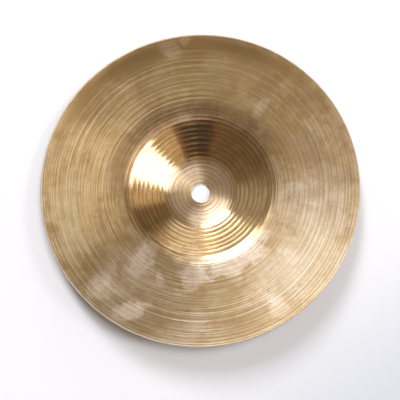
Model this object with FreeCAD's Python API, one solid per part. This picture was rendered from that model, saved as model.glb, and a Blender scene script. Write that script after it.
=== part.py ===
"""Splash cymbal: one disc of bronze, domed, pressed with a bell, turned on both faces and bored.

The frame's +Z is the axis of the cymbal and points out of the top of the bell. The origin is on the
axis, level with the edge that the cymbal rests on when it is laid down with its bell up.
All lengths are in millimetres and all angles in degrees.
"""
import FreeCAD, Part
import math
import os

# The disc, over its edge and at its centre hole
diameter = 203.2
hole_diameter = 12.7

# The bell: a domed crown, a shoulder, a steep flank, and a fillet that sweeps out to the crease
crown_diameter = 41.0
shoulder_width = 4.5
fillet_width = 7.5
bell_diameter = 101.0

# How steeply the plate falls outwards where one arc of its outline runs into the next
hole_fall = 4.0
crown_fall = 12.0
flank_top_fall = 20.5
flank_foot_fall = 22.5
crease_fall = 6.2
edge_fall = 8.7

# Thickness of the plate, which is turned away towards the edge
wall_at_hole = 1.0
wall_at_crease = 0.9
wall_at_edge = 0.55

# Width of one pass of the turning tool on each zone, and the depth of the groove that it leaves
crown_pass_width = 3.4
flank_pass_width = 4.8
crease_pass_width = 1.6
bow_pass_width = 4.8
edge_pass_width = 3.2
groove_depth_share = 0.022

# The narrow bands that are turned more finely, over the crease and beside the edge
crease_band_width = 3.2
edge_band_width = 13.0

# The edge: an upright land, and how far the corners beside it are broken back
edge_land = 0.25
edge_break = 0.2

hole_radius = hole_diameter / 2
crown_radius = crown_diameter / 2
bell_radius = bell_diameter / 2
outer_radius = diameter / 2
foot_radius = outer_radius - edge_break

# Radius and fall at each joint between the arcs of the outline, from the hole to the foot of the edge
outline_joints = (
    (hole_radius, math.radians(hole_fall)),
    (crown_radius, math.radians(crown_fall)),
    (crown_radius + shoulder_width, math.radians(flank_top_fall)),
    (bell_radius - fillet_width, math.radians(flank_foot_fall)),
    (bell_radius, math.radians(crease_fall)),
    (foot_radius, math.radians(edge_fall)),
)

# Outer radius of each turned zone, and the width of a pass there
turned_zones = (
    (crown_radius + shoulder_width / 2, crown_pass_width),
    (bell_radius - crease_band_width / 2, flank_pass_width),
    (bell_radius + crease_band_width / 2, crease_pass_width),
    (foot_radius - edge_band_width, bow_pass_width),
    (foot_radius, edge_pass_width),
)


def arc_holding(radius):
    """The inner and the outer joint of the arc of the outline that a radius lies on."""
    arcs = list(zip(outline_joints, outline_joints[1:]))
    return next((arc for arc in arcs if radius <= arc[1][0]), arcs[-1])


def fall_at(radius):
    """Fall of the plate at a radius: along an arc of a circle, the sine of the fall grows evenly."""
    (start_radius, start_fall), (end_radius, end_fall) = arc_holding(radius)
    share = (radius - start_radius) / (end_radius - start_radius)
    return math.asin(math.sin(start_fall) + share * (math.sin(end_fall) - math.sin(start_fall)))


def drop_between(start_radius, end_radius):
    """Drop between two radii on one arc: its chord falls at the mean of the falls at the two ends."""
    mean_fall = (fall_at(start_radius) + fall_at(end_radius)) / 2
    return (end_radius - start_radius) * math.tan(mean_fall)


def underside_height(radius):
    """Height of the hollow face above the foot of the edge, added up over the arcs outside a radius."""
    joints_outside = [joint_radius for joint_radius, _ in outline_joints if joint_radius > radius]
    stops = [radius] + joints_outside
    return sum(drop_between(start, end) for start, end in zip(stops, stops[1:]))


def wall_at(radius):
    """Thickness of the plate, which thins evenly to the crease and then evenly to the edge."""
    if radius < bell_radius:
        share = (radius - hole_radius) / (bell_radius - hole_radius)
        return wall_at_hole + share * (wall_at_crease - wall_at_hole)
    share = (radius - bell_radius) / (foot_radius - bell_radius)
    return wall_at_crease + share * (wall_at_edge - wall_at_crease)


def top_height(radius):
    """Height of the domed face, one wall above the hollow face, measured square to the plate."""
    return underside_height(radius) + wall_at(radius) / math.cos(fall_at(radius))


def pass_crests():
    """Radii of the crests between the tool's passes, from the hole out to the foot of the edge."""
    crests = [hole_radius]
    for zone_radius, pass_width in turned_zones:
        start = crests[-1]
        count = max(1, round((zone_radius - start) / pass_width))
        step = (zone_radius - start) / count
        crests += [start + step * number for number in range(1, count)]
        crests.append(zone_radius)
    return crests


def section_point(radius, height):
    """A point of the section, which lies in the plane of the X and Z axes."""
    return FreeCAD.Vector(radius, 0, height)


def underside_outline(crests):
    """Points of the hollow face: the crests, and the bottom of a groove halfway between each two."""
    points = [section_point(crests[0], underside_height(crests[0]))]
    for inner, outer in zip(crests, crests[1:]):
        middle = (inner + outer) / 2
        groove_depth = groove_depth_share * (outer - inner) / math.cos(fall_at(middle))
        points.append(section_point(middle, underside_height(middle) + groove_depth))
        points.append(section_point(outer, underside_height(outer)))
    return points


def edge_outline():
    """Points of the thin edge: an upright land between two broken corners."""
    middle = (underside_height(foot_radius) + top_height(foot_radius)) / 2
    return [section_point(outer_radius, middle + side * edge_land / 2) for side in (-1, 1)]


def top_outline(crests):
    """Points of the domed face, from the edge in to the hole: a straight cut between each two crests."""
    return [section_point(radius, top_height(radius)) for radius in reversed(crests)]


def cymbal():
    """The whole plate: its section turned once round the axis."""
    crests = pass_crests()
    outline = underside_outline(crests) + edge_outline() + top_outline(crests)
    section = Part.Face(Part.makePolygon(outline + outline[:1]))
    axis_point = FreeCAD.Vector(0, 0, 0)
    axis = FreeCAD.Vector(0, 0, 1)
    return section.revolve(axis_point, axis, 360)


os.makedirs("parts", exist_ok=True)
cymbal().exportStep("parts/cymbal.step")
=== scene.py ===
"""Splash cymbal: one turned plate of bronze, seen from its hollow side.

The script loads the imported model, puts a finely turned plate in the place of its solid, gives the
bronze its tool lines, tarnish and wipe marks, and lights it for the photograph's view from below and
for the views from above. Lengths are in metres unless a name says otherwise.
"""

import logging
import math
from collections.abc import Sequence
from dataclasses import dataclass, field
from enum import Enum
from typing import NamedTuple

import bpy
import numpy as np
from mathutils import Matrix, Vector

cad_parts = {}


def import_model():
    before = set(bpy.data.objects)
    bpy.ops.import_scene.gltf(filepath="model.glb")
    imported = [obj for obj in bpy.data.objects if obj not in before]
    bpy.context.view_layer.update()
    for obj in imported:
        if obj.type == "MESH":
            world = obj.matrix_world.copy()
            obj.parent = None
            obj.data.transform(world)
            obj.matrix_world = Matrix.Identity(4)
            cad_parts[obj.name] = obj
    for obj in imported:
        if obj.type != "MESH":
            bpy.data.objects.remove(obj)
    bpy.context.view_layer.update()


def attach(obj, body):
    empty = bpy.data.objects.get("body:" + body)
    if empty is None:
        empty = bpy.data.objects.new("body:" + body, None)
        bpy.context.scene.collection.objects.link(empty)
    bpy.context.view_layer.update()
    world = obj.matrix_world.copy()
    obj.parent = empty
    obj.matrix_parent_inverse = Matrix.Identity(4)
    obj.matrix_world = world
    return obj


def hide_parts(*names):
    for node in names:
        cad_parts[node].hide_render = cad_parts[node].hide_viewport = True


Socket = bpy.types.NodeSocket
Colour = tuple[float, float, float]
Value = Socket | float
Direction = Socket | Sequence[float]
Tone = Socket | Colour
Marks = dict[str, Socket]
Coat = tuple[Socket, Colour]

MILLIMETRES_PER_METRE = 1000.0
DEGREES_PER_RADIAN = math.degrees(1.0)
HALF_TURN = 180.0
RIGHT_ANGLE = 90.0
CREST_MARKS = "crest"
PICTURE_SIDE = 400
PICTURE_ROLL = 11.3

# A Mix node's inputs share their names, so they are picked by number: the share, and a pair of each kind
MIX_SHARE = 0
MIX_NUMBERS = (2, 3)
MIX_COLOURS = (6, 7)
MIX_COLOUR_RESULT = 2

log = logging.getLogger("splash_cymbal")


class Face(Enum):
    """The two faces of the plate. Each value is the slot of the material that it wears."""

    HOLLOW = 0
    DOMED = 1


class Step(NamedTuple):
    """A smooth step of a number: it gives to_low up to low, and to_high from high on."""

    low: float
    high: float
    to_low: float = 0.0
    to_high: float = 1.0


class Grain(NamedTuple):
    """Soft noise: its waves to a unit of the place, how many finer layers it has, and how strong they are.

    Rings is true for noise along one number, which makes closed rings of a radius.
    """

    scale: float
    detail: float = 1.0
    roughness: float = 0.5
    rings: bool = False


class Wiring:
    """The nodes of one material or world, with short calls that add a node and join it up."""

    def __init__(self, tree: bpy.types.NodeTree) -> None:
        """Starts on an empty tree.

        Args:
            tree: the node tree of a material or a world.
        """
        self.tree = tree
        tree.nodes.clear()

    def add(self, kind: str, inputs: dict | None = None, **settings: object) -> bpy.types.Node:
        """Adds one node.

        Args:
            kind: the node's type, without the leading "ShaderNode".
            inputs: a value or a socket for each input, by its name or its number.
            settings: the node's own settings.

        Returns:
            The new node.
        """
        node = self.tree.nodes.new("ShaderNode" + kind)
        for name, setting in settings.items():
            setattr(node, name, setting)
        for name, value in (inputs or {}).items():
            self.join(value, node.inputs[name])
        return node

    def join(self, value: object, socket: Socket) -> None:
        """Feeds a socket from another socket, or sets it to a plain value."""
        if isinstance(value, Socket):
            self.tree.links.new(value, socket)
        else:
            socket.default_value = value

    def maths(self, operation: str, *values: Value) -> Socket:
        """One sum on numbers, such as ADD or MULTIPLY."""
        return self.add("Math", dict(enumerate(values)), operation=operation).outputs[0]

    def product(self, *factors: Value) -> Socket:
        """Two or more numbers, multiplied one after the other."""
        result = factors[0]
        for factor in factors[1:]:
            result = self.maths("MULTIPLY", result, factor)
        return result

    def total(self, sockets: Marks, shares: dict[str, float]) -> Socket:
        """Adds up some of the named sockets, each times its own share.

        Args:
            sockets: the sockets by their names.
            shares: the names of those that count, and how much each one does.

        Returns:
            The socket of the sum.
        """
        result = 0.0
        for name, share in shares.items():
            result = self.maths("MULTIPLY_ADD", sockets[name], share, result)
        return result

    def vector(self, operation: str, *values: Direction) -> Socket:
        """One sum on vectors that gives a vector, such as ADD or NORMALIZE."""
        return self.add("VectorMath", dict(enumerate(values)), operation=operation).outputs["Vector"]

    def measure(self, operation: str, *values: Direction) -> Socket:
        """One sum on vectors that gives a number, such as LENGTH or DOT_PRODUCT."""
        return self.add("VectorMath", dict(enumerate(values)), operation=operation).outputs["Value"]

    def ramp(self, value: Value, step: Step) -> Socket:
        """Puts a number through a smooth step."""
        ends = {
            "Value": value,
            "From Min": step.low,
            "From Max": step.high,
            "To Min": step.to_low,
            "To Max": step.to_high,
        }
        return self.add("MapRange", ends, interpolation_type="SMOOTHSTEP").outputs["Result"]

    def noise(self, place: Socket, grain: Grain) -> Socket:
        """Soft noise from 0 to 1, about 0.5, at a place, or along a radius for rings."""
        inputs = {
            "W" if grain.rings else "Vector": place,
            "Scale": grain.scale,
            "Detail": grain.detail,
            "Roughness": grain.roughness,
        }
        return self.add("TexNoise", inputs, noise_dimensions="1D" if grain.rings else "3D").outputs["Fac"]

    def blend(self, share: Value, *tones: Tone) -> Socket:
        """A mix of two colours by a share of the second."""
        node = self.add("Mix", {MIX_SHARE: share}, data_type="RGBA", clamp_factor=True)
        for number, tone in zip(MIX_COLOURS, tones):
            self.join((*tone, 1.0) if isinstance(tone, tuple) else tone, node.inputs[number])
        return node.outputs[MIX_COLOUR_RESULT]

    def between(self, share: Value, *numbers: Value) -> Socket:
        """A mix of two numbers by a share of the second."""
        return self.add("Mix", {MIX_SHARE: share, **dict(zip(MIX_NUMBERS, numbers))}).outputs[0]


def row_bearing(bearing: float) -> float:
    """A bearing of the photograph, in degrees, as radians round the row's Z axis from X towards Y."""
    return math.radians(PICTURE_ROLL - bearing)


@dataclass(frozen=True)
class Film:
    """What lies on the bronze in one patch.

    It has a tone, a roughness, the share of the metal that it hides, how far it evens out the stretched
    gloss, and how soft its edge is, as a share of the patch's size.
    """

    tone: Colour
    roughness: float
    cover: float
    dullness: float = 0.5
    softness: float = 1.05


class Mark(Enum):
    """The kinds of patch that handling and wiping leave on unlacquered bronze."""

    CHALK = Film(tone=(0.99, 0.81, 0.58), roughness=0.22, cover=0.92, dullness=0.35, softness=0.48)
    BLUSH = Film(tone=(0.64, 0.46, 0.34), roughness=0.22, cover=0.45, dullness=0.1)
    TARNISH = Film(tone=(0.36, 0.22, 0.09), roughness=0.17, cover=0.70, dullness=0.1)
    OLIVE = Film(tone=(0.55, 0.44, 0.17), roughness=0.18, cover=0.65, dullness=0.1)
    CLEAN = Film(tone=(0.93, 0.75, 0.47), roughness=0.16, cover=0.65, dullness=0.0)


@dataclass(frozen=True)
class Patch:
    """One patch on a face: where it lies, how far it reaches and what it is.

    The bearing is in degrees as the photograph shows the face, from its right towards its top. The radius,
    the half length along the radius and the half width along the arc are in millimetres. The strength is
    how fully it shows, and the streaks are how far the strokes of the cloth thin it. The slant is its
    shift along the arc for each millimetre outwards.
    """

    bearing: float
    radius: float
    length: float
    width: float
    mark: Mark
    strength: float = 1.0
    streaks: float = 0.5
    slant: float = 0.0


# Bearing, radius, half length, half width, mark, strength, streaks and slant of each patch
HOLLOW_PATCHES = (
    Patch(232.0, 57.0, 17.0, 9.5, Mark.CHALK, 0.72, 0.4, 0.1),
    Patch(241.5, 90.0, 11.0, 9.5, Mark.CHALK, 1.0, 0.4, -0.7),
    Patch(266.0, 56.0, 12.0, 12.0, Mark.CHALK, 0.65, 0.5),
    Patch(268.0, 87.0, 14.0, 9.0, Mark.CHALK, 0.25, 0.8, -0.3),
    Patch(247.0, 64.0, 6.0, 4.0, Mark.CHALK, 0.5, 0.7, 0.5),
    Patch(226.0, 88.0, 13.0, 12.0, Mark.CHALK, 0.85, 0.6),
    Patch(229.0, 70.0, 26.0, 24.0, Mark.CHALK, 0.4, 0.8),
    Patch(310.0, 76.0, 24.0, 28.0, Mark.CHALK, 0.45, 0.7),
    Patch(295.0, 52.0, 9.5, 36.0, Mark.CHALK, 0.85, 0.4),
    Patch(303.0, 90.0, 10.0, 8.0, Mark.CHALK, 0.6, 0.8),
    Patch(322.0, 72.0, 12.0, 4.5, Mark.CHALK, 0.55, 0.8),
    Patch(352.0, 70.0, 14.0, 3.0, Mark.CHALK, 0.42, 0.9),
    Patch(1.0, 62.0, 10.0, 4.0, Mark.CHALK, 0.4, 0.9),
    Patch(102.0, 93.0, 9.0, 8.0, Mark.CHALK, 0.45, 0.5, 0.3),
    Patch(96.0, 98.0, 4.0, 6.0, Mark.CHALK, 0.35, 0.4),
    Patch(54.0, 66.0, 10.0, 5.0, Mark.CHALK, 0.4, 0.7),
    Patch(85.0, 82.0, 7.0, 10.0, Mark.CHALK, 0.3, 0.7),
    Patch(35.0, 9.5, 7.0, 10.0, Mark.TARNISH, 0.7, 0.3),
    Patch(84.0, 79.0, 14.0, 9.0, Mark.OLIVE, 0.8, 0.5),
    Patch(20.0, 76.0, 22.0, 12.0, Mark.BLUSH, 0.5),
    Patch(352.0, 74.0, 28.0, 32.0, Mark.CHALK, 0.35, 0.6),
    Patch(168.0, 90.0, 12.0, 6.0, Mark.BLUSH, 0.4),
    Patch(116.0, 93.0, 10.0, 26.0, Mark.TARNISH, 1.0),
    Patch(70.0, 94.0, 10.0, 24.0, Mark.TARNISH, 0.85),
    Patch(40.0, 90.0, 12.0, 14.0, Mark.TARNISH, 0.45),
    Patch(216.0, 71.0, 26.0, 11.0, Mark.TARNISH, 0.8),
    Patch(140.0, 86.0, 11.0, 18.0, Mark.TARNISH, 0.75),
    Patch(286.0, 91.0, 11.0, 16.0, Mark.TARNISH, 0.8),
    Patch(118.0, 71.0, 15.0, 15.0, Mark.TARNISH, 0.5),
    Patch(158.0, 57.0, 8.0, 20.0, Mark.TARNISH, 0.7, 0.3),
    Patch(100.0, 74.0, 17.0, 24.0, Mark.OLIVE, 0.6),
    Patch(133.0, 72.0, 10.0, 18.0, Mark.OLIVE, 0.5),
    Patch(70.0, 60.0, 7.0, 16.0, Mark.OLIVE, 0.5),
    Patch(252.0, 90.0, 11.0, 12.0, Mark.TARNISH, 0.4),
    Patch(283.0, 74.0, 12.0, 10.0, Mark.OLIVE, 0.4),
    Patch(186.0, 84.0, 16.0, 26.0, Mark.CLEAN, 0.8, 0.3),
    Patch(204.0, 87.0, 14.0, 14.0, Mark.CLEAN, 0.9, 0.4),
    Patch(328.0, 84.0, 22.0, 28.0, Mark.CLEAN, 0.6, 0.4),
)

DOMED_PATCHES = (
    Patch(54.0, 64.0, 16.0, 7.0, Mark.CHALK, 0.5, 0.7),
    Patch(155.0, 66.0, 20.0, 12.0, Mark.BLUSH, 0.5),
    Patch(325.0, 70.0, 14.0, 24.0, Mark.TARNISH, 0.55),
    Patch(250.0, 76.0, 12.0, 22.0, Mark.TARNISH, 0.5),
    Patch(206.0, 78.0, 9.0, 6.0, Mark.CHALK, 0.4, 0.6),
    Patch(92.0, 80.0, 12.0, 28.0, Mark.CLEAN, 0.5),
)


# The noise of each mark. Slow, mottle, cloud and ragged count waves to a millimetre on the plate, bands and
# lines to a millimetre of the radius, and arcs and strokes on a place that is bent round the plate.
GRAINS = {
    "bands": Grain(0.30, rings=True),
    "lines": Grain(0.85, rings=True),
    "arcs": Grain(1.0, 2.0),
    "strokes": Grain(1.0, 4.0, 0.6),
    "ragged": Grain(0.13, 5.0, 0.68),
    "slow": Grain(0.022, 3.0, 0.55),
    "mottle": Grain(0.11, 4.0, 0.62),
    "cloud": Grain(0.07, 5.0, 0.6),
}

# How closely a bent place winds: waves to a radian round the plate, and to a millimetre of the radius
ARC_WAVES = (3.5, 1.1)
STROKE_WAVES = (11.0, 0.05)

# How much each mark counts in the tarnish, the streaks, the wear of a patch, the relief, the roughness
# and the evening out of the stretched gloss
TARNISH_SHARES = {"slow": 0.5, "mottle": 0.5}
STREAK_SHARES = {"bands": 0.08, "lines": 0.24, "arcs": 0.34, "strokes": 0.08, "cloud": 0.26}
CLOTH_SHARES = {"strokes": 0.25, "arcs": 0.25, "ragged": 0.5}
RELIEF_SHARES = {"lines": 0.95, "arcs": 0.20}
ROUGHNESS_SHARES = {"tarnish": 0.03, "mottle": 0.03, "lines": 0.02, "speck": 0.05, "rim": 0.22}
DULLNESS_SHARES = {"tarnish": 0.06, "rim": 0.8}


@dataclass(frozen=True)
class TurnedBronze:
    """Unlacquered bronze that was turned in rings and has been touched and wiped.

    Slow brown tarnish lies over the whole face. Tool lines and streaks follow the rings, and are calmer at
    one bearing than opposite it. A band of painted shade darkens the face round the crease, and brown
    lies towards the rim, both at one bearing above all. The crown has a haze, and beside the crease run
    a pale line of painted highlight and dark lines of painted shade. The rim has a painted highlight,
    palest towards one bearing. A few pale specks and the wiped patches come on top.

    Bearings are in degrees as the photograph shows the face, and radii are in millimetres. A zone is a
    step over the radius, and a side is a step over the cosine of the angle from a bearing. The drift moves
    all the noise, so that two faces differ.
    """

    name: str
    patches: tuple[Patch, ...]
    drift: float = 0.0
    bronze: Colour = (0.72, 0.50, 0.25)
    brown: Colour = (0.48, 0.30, 0.12)
    pale: Colour = (0.84, 0.66, 0.42)
    crest: Colour = (0.30, 0.17, 0.06)
    # Tone of the painted shade round the crease
    crease_shade: Colour = (0.27, 0.16, 0.075)
    haze: Colour = (0.64, 0.48, 0.32)
    # Pale tone of the real specks, and of the painted highlights on the rim and beside the crease
    pale_and_highlight: Colour = (0.86, 0.76, 0.60)
    least_roughness: float = 0.128
    anisotropy: float = 0.72
    dull_anisotropy: float = 0.2
    gloss_turn: float = 0.25
    line_height: float = 0.000009
    calm_bearing: float = 15.0
    calm_side: Step = Step(-0.9, 0.95, 1.35, 0.45)
    tarnish_step: Step = Step(0.43, 0.59)
    tarnish_cover: float = 0.70
    pale_streaks: Step = Step(0.50, 0.60, 0.0, 0.72)
    brown_streaks: Step = Step(0.40, 0.50, 0.72, 0.0)
    streak_zone: Step = Step(15.0, 50.0, 0.25, 1.0)
    # The painted shade round the crease and the real brown towards the rim are both strongest towards this
    # bearing
    shade_and_brown_bearing: float = 100.0
    crease_shade_zones: tuple[Step, Step] = (Step(43.0, 47.5), Step(52.0, 66.0, 1.0, 0.0))
    crease_shade_side: Step = Step(-0.35, 0.75, 0.08, 1.0)
    crease_shade_mottle: Step = Step(0.3, 0.7, 0.6, 0.95)
    haze_zones: tuple[Step, Step] = (Step(18.0, 25.0, 0.60, 0.0), Step(6.0, 13.0, 0.4, 1.0))
    rim_brown_zones: tuple[Step, Step] = (Step(88.0, 95.0, 0.0, 0.8), Step(96.5, 99.5, 1.0, 0.25))
    rim_brown_side: Step = Step(0.1, 0.9)
    crest_arcs: Step = Step(0.35, 0.6, 0.25, 0.7)
    crest_zone: Step = Step(48.0, 53.0, 1.0, 0.45)
    # A pale line of painted highlight, then two dark lines of painted shade, beside the crease: radius,
    # tone and strength
    painted_crease_lines: tuple[tuple[float, Colour, float], ...] = (
        (49.3, pale_and_highlight, 0.10),
        (50.1, crest, 0.5),
        (52.6, crest, 0.3),
    )
    painted_crease_line_ends: tuple[float, float] = (0.15, 0.5)
    rim_zone: Step = Step(100.4, 101.0)
    # The rim's painted highlight is palest towards this bearing
    rim_highlight_bearing: float = 222.0
    rim_highlight_side: Step = Step(0.1, 0.9, 0.1, 0.8)
    speck_scale: float = 0.42
    speck_size: Step = Step(0.10, 0.2, 1.0, 0.0)
    speck_choice: Step = Step(0.955, 0.965)
    speck_cover: float = 0.35
    patch_border: float = 1.62
    patch_raggedness: float = 1.8
    cloth_ends: tuple[float, float] = (0.40, 0.60)

    def material(self) -> bpy.types.Material:
        """Makes the material.

        Returns:
            A material whose colour, roughness, stretch of the gloss and relief all come from nodes.
        """
        material = bpy.data.materials.new(self.name)
        material.use_nodes = True
        wiring = Wiring(material.node_tree)
        marks = self.marks(wiring)
        colour = self.bronze
        for share, tone in self.coats(wiring, marks):
            colour = wiring.blend(share, colour, tone)
        roughness = wiring.maths("ADD", wiring.total(marks, ROUGHNESS_SHARES), self.least_roughness)
        dullness = wiring.total(marks, DULLNESS_SHARES)
        for patch in self.patches:
            share = self.patch_share(wiring, patch, marks)
            film = patch.mark.value
            colour = wiring.blend(wiring.product(share, film.cover), colour, film.tone)
            roughness = wiring.between(share, roughness, film.roughness)
            dullness = wiring.maths("MAXIMUM", dullness, wiring.product(share, film.dullness))
        shader = wiring.add(
            "BsdfPrincipled",
            {
                "Base Color": colour,
                "Metallic": 1.0,
                "Roughness": roughness,
                "Anisotropic": wiring.between(dullness, self.anisotropy, self.dull_anisotropy),
                "Anisotropic Rotation": self.gloss_turn,
                "Tangent": wiring.add("Tangent", direction_type="RADIAL", axis="Z").outputs[0],
                "Normal": self.relief(wiring, marks),
            },
        )
        wiring.add("OutputMaterial", {"Surface": shader.outputs[0]})
        return material

    def marks(self, wiring: Wiring) -> Marks:
        """The marks that the colour, the roughness and the relief are made of.

        Args:
            wiring: the material's nodes.

        Returns:
            The sockets by name. The radius is in millimetres, the bearing in radians, and the way is the
            direction from the axis. Crests are where the tool's passes meet, as the mesh marks them. Bands
            and lines are closed rings, because their noise follows the radius alone. Arcs fade in and out
            round the plate, and strokes run along the radius. Ragged breaks up the borders of patches, and
            cloth is what thins them. Grip is how deep the tool lines are.
        """
        metres = wiring.add("TexCoord").outputs["Object"]
        place = wiring.vector("MULTIPLY", metres, (MILLIMETRES_PER_METRE,) * 3)
        flat = wiring.vector("MULTIPLY", place, (1.0, 1.0, 0.0))
        parts = wiring.add("SeparateXYZ", {0: flat}).outputs
        way = wiring.vector("NORMALIZE", flat)
        radius = wiring.measure("LENGTH", flat)
        moved_radius = wiring.maths("ADD", radius, self.drift)
        moved = wiring.vector("ADD", place, (self.drift, self.drift * 0.7, 0.0))
        grounds = {
            "bands": moved_radius,
            "lines": moved_radius,
            "arcs": self.bent(wiring, way, moved_radius, ARC_WAVES),
            "strokes": self.bent(wiring, way, moved_radius, STROKE_WAVES),
            "ragged": flat,
            "slow": moved,
            "mottle": moved,
            "cloud": moved,
        }
        marks = {name: wiring.noise(ground, GRAINS[name]) for name, ground in grounds.items()}
        marks["radius"] = radius
        marks["bearing"] = wiring.maths("ARCTAN2", parts["Y"], parts["X"])
        marks["way"] = way
        marks["crests"] = wiring.add("Attribute", attribute_name=CREST_MARKS).outputs["Fac"]
        marks["cloth"] = wiring.total(marks, CLOTH_SHARES)
        marks["grip"] = wiring.ramp(self.towards(wiring, way, self.calm_bearing), self.calm_side)
        marks["tarnish"] = wiring.ramp(wiring.total(marks, TARNISH_SHARES), self.tarnish_step)
        marks["rim"] = wiring.ramp(radius, self.rim_zone)
        marks["speck"] = self.specks(wiring, moved)
        return marks

    def bent(self, wiring: Wiring, way: Socket, radius: Socket, waves: tuple[float, float]) -> Socket:
        """The place for noise whose waves run round the plate and along its radius.

        Args:
            wiring: the material's nodes.
            way: the direction from the axis.
            radius: the distance from the axis, in millimetres.
            waves: how many there are to a radian and to a millimetre.

        Returns:
            The direction times the first number, with the radius times the second as its height.
        """
        round_plate, along_radius = waves
        height = wiring.add("CombineXYZ", {"Z": wiring.product(radius, along_radius)}).outputs[0]
        return wiring.vector("ADD", wiring.vector("MULTIPLY", way, (round_plate, round_plate, 0.0)), height)

    def towards(self, wiring: Wiring, way: Socket, bearing: float) -> Socket:
        """How far a direction points towards a bearing: the cosine of the angle between them."""
        turn = row_bearing(bearing)
        return wiring.measure("DOT_PRODUCT", way, (math.cos(turn), math.sin(turn), 0.0))

    def specks(self, wiring: Wiring, place: Socket) -> Socket:
        """Small round specks, in about one cell of twenty-five."""
        cell = wiring.add("TexVoronoi", {"Vector": place, "Scale": self.speck_scale}, feature="F1").outputs
        chance = wiring.add("SeparateColor", {0: cell["Color"]}).outputs[0]
        dot = wiring.ramp(cell["Distance"], self.speck_size)
        return wiring.product(dot, wiring.ramp(chance, self.speck_choice))

    def coats(self, wiring: Wiring, marks: Marks) -> list[Coat]:
        """What lies over the plain bronze before its patches.

        Args:
            wiring: the material's nodes.
            marks: the marks of the tool and of time.

        Returns:
            The share and the tone of each coat, from the first to the last that is laid on.
        """
        radius = marks["radius"]
        streak = wiring.total(marks, STREAK_SHARES)
        depth = wiring.product(wiring.ramp(radius, self.streak_zone), marks["grip"])
        towards_shade_and_brown = self.towards(wiring, marks["way"], self.shade_and_brown_bearing)
        towards_rim_highlight = self.towards(wiring, marks["way"], self.rim_highlight_bearing)
        crease_shade_inside, crease_shade_outside = (wiring.ramp(radius, zone) for zone in self.crease_shade_zones)
        crease_shade_side = wiring.ramp(towards_shade_and_brown, self.crease_shade_side)
        crease_shade_mottle = wiring.ramp(marks["mottle"], self.crease_shade_mottle)
        haze_outside, haze_inside = (wiring.ramp(radius, zone) for zone in self.haze_zones)
        brown_inside, brown_outside = (wiring.ramp(radius, zone) for zone in self.rim_brown_zones)
        brown_side = wiring.ramp(towards_shade_and_brown, self.rim_brown_side)
        crest_arcs = wiring.ramp(marks["arcs"], self.crest_arcs)
        crest_zone = wiring.ramp(radius, self.crest_zone)
        coats = [
            (wiring.product(marks["tarnish"], self.tarnish_cover), self.brown),
            (wiring.product(wiring.ramp(streak, self.pale_streaks), depth), self.pale),
            (wiring.product(wiring.ramp(streak, self.brown_streaks), depth), self.brown),
            # Painted shade: a dark band round the crease, strongest towards one bearing
            (wiring.product(crease_shade_inside, crease_shade_outside, crease_shade_side, crease_shade_mottle), self.crease_shade),
            (wiring.product(haze_outside, haze_inside), self.haze),
            (wiring.product(brown_inside, brown_side, brown_outside), self.brown),
            (wiring.product(marks["crests"], crest_arcs, crest_zone), self.crest),
        ]
        # Painted highlight and painted shade lines beside the crease
        for line_radius, tone, strength in self.painted_crease_lines:
            off = wiring.maths("ABSOLUTE", wiring.maths("SUBTRACT", radius, line_radius))
            coats.append((wiring.ramp(off, Step(*self.painted_crease_line_ends, strength, 0.0)), tone))
        # Painted highlight on the rim, palest towards one bearing
        coats.append((wiring.product(marks["rim"], wiring.ramp(towards_rim_highlight, self.rim_highlight_side)), self.pale_and_highlight))
        coats.append((wiring.product(marks["speck"], self.speck_cover), self.pale_and_highlight))
        return coats

    def patch_share(self, wiring: Wiring, patch: Patch, marks: Marks) -> Socket:
        """How far a place lies in a patch: 1 inside it, 0 outside, with a ragged soft edge.

        Args:
            wiring: the material's nodes.
            patch: the patch.
            marks: the marks of the tool and the cloth, which show through the patch.

        Returns:
            The share's socket, thinned where the cloth went.
        """
        outwards = wiring.maths("SUBTRACT", marks["radius"], patch.radius)
        turned = wiring.maths("SUBTRACT", marks["bearing"], row_bearing(patch.bearing))
        turned = wiring.maths("WRAP", turned, math.pi, -math.pi)
        aside = wiring.maths("MULTIPLY_ADD", outwards, patch.slant, wiring.product(turned, patch.radius))
        local = wiring.add("CombineXYZ", {0: outwards, 1: aside}).outputs[0]
        away = wiring.measure("LENGTH", wiring.vector("DIVIDE", local, (patch.length, patch.width, 1.0)))
        away = wiring.maths("MULTIPLY_ADD", marks["ragged"], self.patch_raggedness, away)
        edge = patch.mark.value.softness / 2
        share = wiring.ramp(away, Step(self.patch_border - edge, self.patch_border + edge, 1.0, 0.0))
        thinned = wiring.ramp(marks["cloth"], Step(*self.cloth_ends, 1.0 - patch.streaks, 1.0))
        return wiring.product(share, thinned, patch.strength)

    def relief(self, wiring: Wiring, marks: Marks) -> Socket:
        """The normal of the tool lines that are finer than the mesh."""
        height = wiring.product(wiring.total(marks, RELIEF_SHARES), marks["grip"])
        inputs = {"Strength": 1.0, "Distance": self.line_height, "Height": height}
        return wiring.add("Bump", inputs).outputs[0]


# How far a rounded corner's middle lies from its two sides, as a share of its radius
ROUNDING = 0.3


@dataclass(frozen=True)
class Joint:
    """A joint between two arcs of the outline: its radius, and the fall of the plate there in degrees."""

    radius: float
    fall: float


@dataclass(frozen=True)
class TurnedZone:
    """A ring that was turned with one width of pass, with grooves as deep as a share of that width."""

    outer_radius: float
    pass_width: float
    depth_share: float


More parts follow.
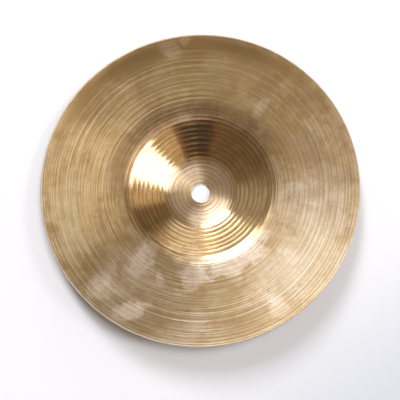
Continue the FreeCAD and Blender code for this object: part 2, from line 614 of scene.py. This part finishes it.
@dataclass
class TurnedPlate:
    """The cymbal itself: a pressed bronze disc, turned on both faces in passes and bored in its middle.

    The falls are in degrees. Dimples begin and end at a gap from the crease and from the edge, and grow to
    their full depth over a width from there.
    """

    name: str = "turned_plate"
    diameter: float = 0.2032
    hole_diameter: float = 0.0127
    crown_diameter: float = 0.041
    shoulder_width: float = 0.0045
    fillet_width: float = 0.0075
    bell_diameter: float = 0.101
    hole_fall: float = 4.0
    crown_fall: float = 12.0
    flank_top_fall: float = 20.5
    flank_foot_fall: float = 22.5
    crease_fall: float = 6.2
    edge_fall: float = 8.7
    crease_band_width: float = 0.0032
    edge_band_width: float = 0.013
    wall_at_hole: float = 0.001
    wall_at_crease: float = 0.0009
    wall_at_edge: float = 0.00055
    edge_land: float = 0.00025
    edge_break: float = 0.0002
    hole_break: float = 0.00018
    steps_round: int = 288
    dimple_count: int = 90
    dimple_depth: float = 0.00006
    dimple_reach: tuple[float, float] = (0.008, 0.015)
    dimples_begin: tuple[float, float] = (0.002, 0.008)
    dimples_end: tuple[float, float] = (0.001, 0.012)
    seed: int = 8
    finishes: dict[Face, TurnedBronze] = field(
        default_factory=lambda: {
            Face.HOLLOW: TurnedBronze("turned_bronze_hollow_face", HOLLOW_PATCHES),
            Face.DOMED: TurnedBronze("turned_bronze_domed_face", DOMED_PATCHES, drift=137.0),
        }
    )

    @property
    def hole_radius(self) -> float:
        """Radius of the centre hole."""
        return self.hole_diameter / 2

    @property
    def bell_radius(self) -> float:
        """Radius of the crease between the bell and the bow."""
        return self.bell_diameter / 2

    @property
    def foot_radius(self) -> float:
        """Radius at which the broken corner of the edge begins."""
        return self.diameter / 2 - self.edge_break

    def joints(self) -> tuple[Joint, ...]:
        """The joints of the outline, from the hole to the foot of the edge."""
        crown_radius = self.crown_diameter / 2
        return (
            Joint(self.hole_radius, self.hole_fall),
            Joint(crown_radius, self.crown_fall),
            Joint(crown_radius + self.shoulder_width, self.flank_top_fall),
            Joint(self.bell_radius - self.fillet_width, self.flank_foot_fall),
            Joint(self.bell_radius, self.crease_fall),
            Joint(self.foot_radius, self.edge_fall),
        )

    def zones(self) -> tuple[TurnedZone, ...]:
        """The turned zones, from the hole to the foot of the edge."""
        crown_border = self.crown_diameter / 2 + self.shoulder_width / 2
        band = self.crease_band_width / 2
        return (
            TurnedZone(crown_border, 0.0026, 0.018),
            TurnedZone(self.bell_radius - band, 0.0029, 0.042),
            TurnedZone(self.bell_radius + band, 0.0011, 0.040),
            TurnedZone(self.foot_radius - self.edge_band_width, 0.0031, 0.023),
            TurnedZone(self.foot_radius, 0.0023, 0.022),
        )

    def fall(self, radius: np.ndarray) -> np.ndarray:
        """Fall of the plate in radians: along each arc, its sine grows evenly with the radius."""
        radii = np.array([joint.radius for joint in self.joints()])
        sines = np.sin(np.radians([joint.fall for joint in self.joints()]))
        return np.arcsin(np.interp(radius, radii, sines))

    def hollow_height(self, radius: np.ndarray) -> np.ndarray:
        """Height of the hollow face above the foot of the edge.

        Each arc drops by its width times the tangent of the mean of the falls at its two ends. The height
        at a radius is the drop to the end of its own arc and the drops of all the arcs outside it.

        Args:
            radius: any number of radii.

        Returns:
            The height at each.
        """
        radii = np.array([joint.radius for joint in self.joints()])
        falls = np.radians([joint.fall for joint in self.joints()])
        drops = np.diff(radii) * np.tan((falls[:-1] + falls[1:]) / 2)
        ends = np.append(np.cumsum(drops[::-1])[::-1], 0.0)
        outer = np.clip(np.searchsorted(radii, radius), 1, len(radii) - 1)
        slope = np.tan((self.fall(radius) + falls[outer]) / 2)
        return ends[outer] + (radii[outer] - radius) * slope

    def wall(self, radius: np.ndarray) -> np.ndarray:
        """Thickness of the plate, which thins evenly to the crease and then evenly to the edge."""
        radii = (self.hole_radius, self.bell_radius, self.foot_radius)
        return np.interp(radius, radii, (self.wall_at_hole, self.wall_at_crease, self.wall_at_edge))

    def domed_height(self, radius: np.ndarray) -> np.ndarray:
        """Height of the domed face: one wall above the hollow face, measured square to the plate."""
        return self.hollow_height(radius) + self.wall(radius) / np.cos(self.fall(radius))

    def passes(self, seed: int) -> tuple[np.ndarray, np.ndarray]:
        """Where the tool's passes meet.

        Each zone is divided into passes of nearly one width: the borders of an even division move by up to
        a sixth of a width, and each groove is between half and all of its zone's depth.

        Args:
            seed: the seed of the small differences.

        Returns:
            The radii of the crests, and the depth of the groove outside each crest but the last.
        """
        chance = np.random.default_rng(seed)
        crests = [np.array([self.hole_radius + self.hole_break])]
        depths = []
        for zone in self.zones():
            start = crests[-1][-1]
            count = max(1, round((zone.outer_radius - start) / zone.pass_width))
            borders = np.linspace(start, zone.outer_radius, count + 1)
            borders[1:-1] += chance.uniform(-1, 1, count - 1) * zone.pass_width / 6
            crests.append(borders[1:])
            depths.append(np.diff(borders) * zone.depth_share * chance.uniform(0.5, 1.0, count))
        return np.concatenate(crests), np.concatenate(depths)

    def turned_face(self, face: Face) -> np.ndarray:
        """The section's line along one face, from the hole outwards.

        Between two crests the tool left a shallow scallop. Its depth is that of the groove times the sine
        of half a turn times the share of the way across, measured square to the plate and into the metal.

        Args:
            face: the hollow or the domed face.

        Returns:
            An array of radius, height and crest, which is 1 at a crest and 0 in the scallop, with four
            points to each pass.
        """
        crests, depths = self.passes(self.seed + face.value)
        share = np.array([0.0, 0.12, 0.5, 0.88])
        radius = (crests[:-1, None] + np.diff(crests)[:, None] * share).ravel()
        cut = (depths[:, None] * np.sin(np.pi * share)).ravel() / np.cos(self.fall(radius))
        radius = np.append(radius, crests[-1])
        cut = np.append(cut, 0.0)
        crest = np.append(np.tile(share == 0.0, len(depths)), False).astype(float)
        crest[0] = 0.0
        if face is Face.HOLLOW:
            height = self.hollow_height(radius) + cut
        else:
            height = self.domed_height(radius) - cut
        return np.column_stack((radius, height, crest))

    def section(self) -> tuple[np.ndarray, np.ndarray]:
        """The closed section of the plate.

        It runs out along the hollow face, up the edge between its two broken corners, back along the domed
        face and down the wall of the hole, whose corners are rounded by a point halfway round each.

        Returns:
            The points as radius, height and crest, and the slot of the material on the face after each.
        """
        hollow, domed = self.turned_face(Face.HOLLOW), self.turned_face(Face.DOMED)
        foot, top = hollow[-1], domed[-1]
        middle = (foot[1] + top[1]) / 2
        outer, bore_radius = self.diameter / 2, self.hole_radius
        edge = np.array([(outer, middle + side * self.edge_land / 2, 0.0) for side in (-1, 1)])
        lower, upper = hollow[0, 1], domed[0, 1]
        inset = self.hole_break * ROUNDING
        bore = np.array(
            [
                (bore_radius + inset, upper - inset, 0.0),
                (bore_radius, upper - self.hole_break, 0.0),
                (bore_radius, lower + self.hole_break, 0.0),
                (bore_radius + inset, lower + inset, 0.0),
            ]
        )
        points = np.vstack((hollow, edge, domed[::-1], bore))
        slots = np.full(len(points), Face.DOMED.value)
        # All of the hole but its upper corner, and all of the edge but its upper corner
        slots[: len(hollow) + 1] = Face.HOLLOW.value
        slots[1 - len(bore) :] = Face.HOLLOW.value
        return points, slots

    def dimples(self, x: np.ndarray, y: np.ndarray) -> np.ndarray:
        """How far the hammer moved the plate up or down.

        Each blow adds a bell curve of the distance from its middle. The sum fades out by a smooth step at
        the crease and at the edge, so that the bell and the edge stay true.

        Args:
            x: places along X.
            y: places along Y.

        Returns:
            The shift in height at each place.
        """
        chance = np.random.default_rng(self.seed)
        radius = np.sqrt(chance.uniform(self.bell_radius**2, self.foot_radius**2, self.dimple_count))
        bearing = chance.uniform(0.0, 2 * np.pi, self.dimple_count)
        depth = chance.uniform(-1.0, 1.0, self.dimple_count) * self.dimple_depth
        reach = chance.uniform(*self.dimple_reach, self.dimple_count)
        across = x[:, None] - radius * np.cos(bearing)
        along = y[:, None] - radius * np.sin(bearing)
        away = across**2 + along**2
        total = (depth * np.exp(-away / reach**2)).sum(axis=1)
        here = np.hypot(x, y)
        gap, width = self.dimples_begin
        inside = np.clip((here - self.bell_radius - gap) / width, 0.0, 1.0)
        gap, width = self.dimples_end
        outside = np.clip((self.foot_radius - gap - here) / width, 0.0, 1.0)
        fade = inside**2 * (3 - 2 * inside) * outside**2 * (3 - 2 * outside)
        return total * fade

    def mesh(self) -> bpy.types.Mesh:
        """The plate's mesh.

        The section is turned round the axis. A place is a function of the step along the section and the
        step round the axis: the section's radius times the cosine and the sine of the bearing, and its
        height.

        Returns:
            A closed, smooth mesh, with a material slot for each face of the plate and the crests marked.
        """
        points, slots = self.section()
        along, around = len(points), self.steps_round
        bearing = np.arange(around) * 2 * np.pi / around
        x = (points[:, :1] * np.cos(bearing)).ravel()
        y = (points[:, :1] * np.sin(bearing)).ravel()
        z = np.repeat(points[:, 1], around) + self.dimples(x, y)
        step, turn = np.divmod(np.arange(along * around), around)
        next_step, next_turn = (step + 1) % along, (turn + 1) % around
        corners = ((step, turn), (step, next_turn), (next_step, next_turn), (next_step, turn))
        quads = np.column_stack([row * around + column for row, column in corners])
        mesh = bpy.data.meshes.new(self.name)
        mesh.from_pydata(np.column_stack((x, y, z)), [], quads)
        mesh.polygons.foreach_set("material_index", np.repeat(slots, around).astype(np.int32))
        mesh.polygons.foreach_set("use_smooth", np.ones(len(quads), bool))
        marks = mesh.attributes.new(CREST_MARKS, "FLOAT", "POINT")
        marks.data.foreach_set("value", np.repeat(points[:, 2], around).astype(np.float32))
        mesh.update()
        return mesh

    def build(self) -> None:
        """Makes the plate at the origin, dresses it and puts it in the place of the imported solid."""
        mesh = self.mesh()
        for face in Face:
            mesh.materials.append(self.finishes[face].material())
        plate = bpy.data.objects.new(self.name, mesh)
        bpy.context.scene.collection.objects.link(plate)
        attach(plate, "root")
        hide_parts("cymbal")
        log.info("%s: %d faces", plate.name, len(mesh.polygons))


@dataclass(frozen=True)
class Axes:
    """Three directions at right angles, from which bearings and zeniths are measured."""

    right: Vector
    up: Vector
    near: Vector

    def towards(self, bearing: float, zenith: float) -> Vector:
        """A direction.

        Args:
            bearing: degrees from right towards up.
            zenith: degrees away from near.

        Returns:
            A unit vector in the row's frame.
        """
        around, away = math.radians(bearing), math.radians(zenith)
        across = self.right * math.cos(around) + self.up * math.sin(around)
        return across * math.sin(away) + self.near * math.cos(away)

    def placed(self, origin: Vector) -> Matrix:
        """The matrix that puts X, Y and Z along right, up and near, at a place."""
        turn = Matrix((self.right, self.up, self.near)).transposed()
        return Matrix.Translation(origin) @ turn.to_4x4()

    def turned(self, degrees: float) -> "Axes":
        """The same axes turned about the row's X axis."""
        turn = Matrix.Rotation(math.radians(degrees), 3, "X")
        return Axes(turn @ self.right, turn @ self.up, turn @ self.near)


@dataclass(frozen=True)
class Picture:
    """The photograph's view: how the plate leans, how far off the camera is, and what it sees.

    The camera looks up at the hollow face. The lean is in degrees, and the plate leans away from the camera
    along the row's -Y. The picture is rolled by PICTURE_ROLL against the row's X axis. The lens and the
    sensor are in the camera's millimetres, and the centre is the pixel that the middle of the edge is at.
    """

    lean: float = 12.03
    distance: float = 0.7197
    lens: float = 101.9
    sensor: float = 36.0
    centre: tuple[float, float] = (199.33, 186.47)

    @property
    def axes(self) -> Axes:
        """The picture's own right, up and near."""
        lean, roll = math.radians(self.lean), math.radians(PICTURE_ROLL)
        level = Vector((1.0, 0.0, 0.0))
        rise = Vector((0.0, -math.cos(lean), -math.sin(lean)))
        right = level * math.cos(roll) - rise * math.sin(roll)
        up = level * math.sin(roll) + rise * math.cos(roll)
        return Axes(right, up, right.cross(up))

    @property
    def mirrored(self) -> Axes:
        """The picture's axes as the plate mirrors them.

        A part of the hollow face at a bearing in the picture and with some fall mirrors what lies at the
        opposite bearing in these axes, at a zenith of twice the fall.
        """
        return self.axes.turned(-2 * self.lean)

    def camera(self) -> None:
        """Makes the scene's camera, with the middle of the edge where the photograph has it."""
        data = bpy.data.cameras.new("camera")
        data.lens, data.sensor_width = self.lens, self.sensor
        camera = bpy.data.objects.new("camera", data)
        bpy.context.scene.collection.objects.link(camera)
        bpy.context.scene.camera = camera
        pixel = self.distance * self.sensor / self.lens / PICTURE_SIDE
        across, down = (pixel * (PICTURE_SIDE / 2 - place) for place in self.centre)
        axes = self.axes
        camera.matrix_world = axes.placed(axes.near * self.distance + axes.right * across - axes.up * down)


class Lights(Enum):
    """What a lamp is for: whether matt surfaces take its light, and whether the metal's gloss does."""

    GLOSS = (False, True)
    MATT = (True, False)
    BOTH = (True, True)


@dataclass(frozen=True)
class SoftBox:
    """A soft lamp: where it hangs, how wide it looks, how bright it is and what it is for.

    The bearing, the zenith, the width across the bearing and the height along it are in degrees as seen
    from the plate. The radiance is the brightness of its face, on a scale where 1 renders as white.
    """

    name: str
    bearing: float
    zenith: float
    width: float
    height: float
    radiance: float
    lights: Lights = Lights.BOTH
    colour: Colour = (1.0, 1.0, 1.0)
    distance: float = 1.0

    def side(self, degrees: float) -> float:
        """The length that looks so many degrees wide from the plate."""
        return 2 * self.distance * math.tan(math.radians(degrees / 2))

    def hang(self, axes: Axes) -> None:
        """Hangs the lamp so that it faces the plate.

        Args:
            axes: the axes that the bearing and the zenith are measured from.
        """
        data = bpy.data.lights.new(self.name, "AREA")
        data.shape = "RECTANGLE"
        data.size = self.side(self.width)
        data.size_y = self.side(self.height)
        data.energy = math.pi * data.size * data.size_y * self.radiance
        data.color = self.colour
        lamp = bpy.data.objects.new(self.name, data)
        bpy.context.scene.collection.objects.link(lamp)
        lamp.visible_camera = False
        lamp.visible_diffuse, lamp.visible_glossy = self.lights.value
        away = axes.towards(self.bearing, self.zenith)
        across = axes.towards(self.bearing + RIGHT_ANGLE, RIGHT_ANGLE)
        lamp.matrix_world = Axes(across, away.cross(across), away).placed(away * self.distance)


@dataclass(frozen=True)
class Glow:
    """A soft part of the room, given by the part of the hollow face that mirrors it in the photograph.

    The bearing and its half width are in degrees in the picture, and so are the falls between which the
    plate mirrors it, counted from the middle of the picture. The soft edges are in degrees as well.
    """

    bearing: float
    half_width: float
    falls: tuple[float, float]
    colour: Colour
    soft: float = 2.0
    fall_soft: float = 1.5

    def steps(self) -> tuple[Step, Step, Step]:
        """The soft edges: at the half width on both sides, at the lower fall and at the higher fall."""
        wide, (low, high) = self.half_width, self.falls
        return (
            Step(wide - self.soft, wide + self.soft, 1.0, 0.0),
            Step(low - self.fall_soft, low + self.fall_soft),
            Step(high - self.fall_soft, high + self.fall_soft, 1.0, 0.0),
        )


@dataclass
class Studio:
    """What stands round the cymbal.

    There are the camera, the lamps, the room, and two pale surfaces that each show from one side. Steps
    of the room are over the height of a direction or over the fall of the plate that mirrors it.
    """

    view: Picture = field(default_factory=Picture)
    white: Colour = (0.955, 0.96, 0.97)
    # The backdrop's painted shade: its tone, the bearing of its corner and how far it reaches
    shade: Colour = (0.735, 0.76, 0.81)
    shade_bearing: float = 308.0
    shade_reach: Step = Step(0.09, 0.20)
    room_near: Colour = (0.53, 0.50, 0.47)
    room_far: Colour = (0.20, 0.155, 0.115)
    room_far_fall: Step = Step(8.5, 15.0)
    room_edge: Colour = (0.04, 0.05, 0.07)
    room_edge_fall: Step = Step(27.0, 31.0)
    room_level: Colour = (0.80, 0.80, 0.80)
    room_above: Colour = (0.62, 0.61, 0.60)
    room_above_height: Step = Step(0.0, 0.9)
    horizon: Step = Step(-0.04, 0.04)
    floor_side: float = 3.0
    floor_gap: float = 0.0002
    backdrop_side: float = 0.44
    backdrop_gap: float = 0.0219

    def soft_boxes(self) -> tuple[SoftBox, ...]:
        """The lamps below the plate that its hollow face mirrors, in the axes that it mirrors."""
        blue = (0.93, 1.0, 1.22)
        return (
            SoftBox("upper_window_gloss", 117.0, 28.2, 22.0, 9.5, 7.2, Lights.GLOSS, blue),
            SoftBox("lower_window_gloss", 134.0, 17.0, 17.0, 9.0, 1.2, Lights.GLOSS, blue),
            SoftBox("window_halo", 110.0, 21.5, 28.0, 17.0, 0.85, Lights.GLOSS, blue, 1.1),
            SoftBox("panel_gloss", 338.0, 38.7, 21.5, 32.4, 4.5, Lights.GLOSS, (0.94, 1.0, 1.18)),
            SoftBox("card_gloss", 300.0, 11.0, 14.0, 12.5, 1.3, Lights.GLOSS, (0.90, 0.97, 1.22), 0.43),
        )

    def spills(self) -> tuple[SoftBox, ...]:
        """The lamps below the plate that light the backdrop, in the picture's own axes."""
        cool = (0.97, 0.985, 1.03)
        return (
            SoftBox("window_spill", 107.4, 33.7, 8.4, 18.6, 28.5, Lights.MATT, cool, 3.0),
            SoftBox("panel_spill", 0.0, 33.2, 6.0, 11.4, 20.0, Lights.MATT, cool, 2.2),
            SoftBox("ceiling_spill", 46.5, 12.1, 9.8, 10.0, 37.5, Lights.MATT, cool, 3.0),
        )

    def top_boxes(self) -> tuple[SoftBox, ...]:
        """The lamps above the plate, for the views from above."""
        return (
            SoftBox("top_window", 120.0, 38.0, 44.0, 30.0, 1.5),
            SoftBox("top_panel", 330.0, 50.0, 26.0, 16.0, 1.5),
            SoftBox("top_fill", 20.0, 20.0, 60.0, 60.0, 0.64),
        )

    def glows(self) -> tuple[Glow, ...]:
        """The parts of the room below that differ from the rest."""
        return (
            Glow(35.0, 50.0, (6.4, 14.0), (0.38, 0.34, 0.32), 20.0, 1.0),
            Glow(111.0, 36.0, (-5.0, 13.0), (0.27, 0.22, 0.15), 18.0),
            Glow(158.0, 13.0, (9.2, 15.0), (1.20, 1.10, 1.00), 5.0, 1.4),
            Glow(178.0, 30.0, (-5.0, 5.6), (0.95, 0.90, 0.80), 12.0, 1.0),
            Glow(252.0, 28.0, (-5.0, 5.6), (0.255, 0.26, 0.33), 14.0, 1.0),
            Glow(338.0, 26.0, (-5.0, 5.6), (1.16, 1.27, 1.66), 12.0, 1.0),
            Glow(18.0, 28.0, (-5.0, 5.6), (0.70, 0.68, 0.73), 12.0, 1.0),
            Glow(266.0, 31.0, (18.0, 29.0), (1.22, 1.18, 1.18), 13.0),
            Glow(325.0, 40.0, (18.0, 29.0), (0.52, 0.50, 0.48), 10.0),
            Glow(123.0, 14.0, (14.0, 29.0), (0.70, 0.57, 0.42), 4.0),
            Glow(186.0, 19.0, (16.0, 29.0), (0.70, 0.56, 0.42), 5.0),
            Glow(208.0, 7.0, (14.0, 29.0), (0.21, 0.15, 0.10), 5.0),
            Glow(93.0, 22.0, (12.5, 30.0), (0.25, 0.125, 0.08), 1.2, 1.0),
            Glow(92.5, 16.0, (16.0, 30.0), (0.06, 0.057, 0.064), 2.5, 1.0),
            Glow(97.0, 2.0, (14.5, 16.9), (1.30, 1.06, 0.84), 0.8, 0.5),
            Glow(104.0, 1.5, (14.5, 16.9), (1.05, 0.84, 0.62), 0.8, 0.5),
        )

    def build(self) -> None:
        """Makes the camera first and then everything that lights or backs the cymbal."""
        self.view.camera()
        for lamp in self.soft_boxes():
            lamp.hang(self.view.mirrored)
        for lamp in self.spills():
            lamp.hang(self.view.axes)
        above = Axes(Vector((1.0, 0.0, 0.0)), Vector((0.0, 1.0, 0.0)), Vector((0.0, 0.0, 1.0)))
        for lamp in self.top_boxes():
            lamp.hang(above)
        self.room()
        self.surface("floor", self.floor_side, above, -self.floor_gap)
        self.surface("backdrop", self.backdrop_side, self.view.axes, -self.backdrop_gap, below=True)

    def room(self) -> None:
        """Makes the world: white to the camera, and to the metal a dim room below and a pale one above."""
        world = bpy.data.worlds.new("room")
        bpy.context.scene.world = world
        world.use_nodes = True
        wiring = Wiring(world.node_tree)
        way = wiring.vector("NORMALIZE", wiring.add("TexCoord").outputs["Generated"])
        height = wiring.add("SeparateXYZ", {0: way}).outputs["Z"]
        above = wiring.blend(wiring.ramp(height, self.room_above_height), self.room_level, self.room_above)
        seen = wiring.blend(wiring.ramp(height, self.horizon), self.room_below(wiring, way), above)
        camera_ray = wiring.add("LightPath").outputs["Is Camera Ray"]
        colour = wiring.blend(camera_ray, seen, self.white)
        background = wiring.add("Background", {"Color": colour, "Strength": 1.0})
        wiring.add("OutputWorld", {"Surface": background.outputs[0]})

    def room_below(self, wiring: Wiring, way: Socket) -> Socket:
        """The colour of the room below the plate.

        The direction is turned into the bearing and the fall of the part of the hollow face that mirrors
        it in the photograph, and each glow is laid over the room there.

        Args:
            wiring: the world's nodes.
            way: the direction that is looked in.

        Returns:
            The colour's socket.
        """
        axes = self.view.mirrored
        right, up, near = (
            wiring.measure("DOT_PRODUCT", way, tuple(axis)) for axis in (axes.right, axes.up, axes.near)
        )
        bearing = wiring.maths("ARCTAN2", up, right)
        bearing = wiring.maths("MULTIPLY_ADD", bearing, DEGREES_PER_RADIAN, HALF_TURN)
        fall = wiring.product(wiring.maths("ARCCOSINE", near), DEGREES_PER_RADIAN / 2)
        colour = wiring.blend(wiring.ramp(fall, self.room_far_fall), self.room_near, self.room_far)
        colour = wiring.blend(wiring.ramp(fall, self.room_edge_fall), colour, self.room_edge)
        for glow in self.glows():
            aside = wiring.maths("SUBTRACT", bearing, glow.bearing)
            aside = wiring.maths("WRAP", aside, HALF_TURN, -HALF_TURN)
            measures = (wiring.maths("ABSOLUTE", aside), fall, fall)
            edges = [wiring.ramp(value, step) for value, step in zip(measures, glow.steps())]
            colour = wiring.blend(wiring.product(*edges), colour, glow.colour)
        return colour

    def surface(self, name: str, side: float, axes: Axes, offset: float, below: bool = False) -> None:
        """Makes a square pale surface that shows from its near side only, and that the lamps shine through.

        The shadow on it is the cymbal's own, and on the backdrop its colour adds painted shade towards one
        corner.

        Args:
            name: the object's name.
            side: the length of a side.
            axes: its own axes.
            offset: how far it lies along its near axis.
            below: true for the one that the camera sees from below. Its colour darkens a little towards the
            corner away from the window, as painted shade that deepens the cymbal's shadow there, and its
            near side also stops light from above that would reach it by way of the plate.
        """
        placed = axes.placed(axes.near * offset)
        signs = ((-1, -1), (1, -1), (1, 1), (-1, 1))
        corners = [placed @ Vector((x * side / 2, y * side / 2, 0.0)) for x, y in signs]
        mesh = bpy.data.meshes.new(name)
        mesh.from_pydata(corners, [], [range(len(corners))])
        square = bpy.data.objects.new(name, mesh)
        bpy.context.scene.collection.objects.link(square)
        material = bpy.data.materials.new("pale_" + name)
        material.use_nodes = True
        wiring = Wiring(material.node_tree)
        path = wiring.add("LightPath").outputs
        solid = path["Is Camera Ray"]
        colour = (*self.white, 1.0)
        if below:
            thrown = wiring.maths("MAXIMUM", path["Glossy Depth"], path["Is Shadow Ray"])
            thrown = wiring.maths("MINIMUM", path["Diffuse Depth"], thrown)
            solid = wiring.maths("MAXIMUM", solid, wiring.maths("GREATER_THAN", thrown, 0.5))
            # Painted shade: the colour greys towards the corner where the cymbal's shadow falls
            corner = tuple(axes.towards(self.shade_bearing, RIGHT_ANGLE))
            away = wiring.measure("DOT_PRODUCT", wiring.add("TexCoord").outputs["Object"], corner)
            colour = wiring.blend(wiring.ramp(away, self.shade_reach), self.white, self.shade)
        clear = wiring.maths("SUBTRACT", 1.0, solid)
        clear = wiring.maths("MAXIMUM", clear, wiring.add("NewGeometry").outputs["Backfacing"])
        matt = wiring.add("BsdfDiffuse", {"Color": colour})
        through = wiring.add("BsdfTransparent")
        mix = wiring.add("MixShader", {0: clear, 1: matt.outputs[0], 2: through.outputs[0]})
        wiring.add("OutputMaterial", {"Surface": mix.outputs[0]})
        mesh.materials.append(material)


def main() -> None:
    """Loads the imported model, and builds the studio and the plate."""
    logging.basicConfig(level=logging.INFO, format="%(message)s")
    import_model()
    bpy.context.scene.view_settings.view_transform = "Standard"
    Studio().build()
    TurnedPlate().build()


if __name__ == "__main__":
    main()
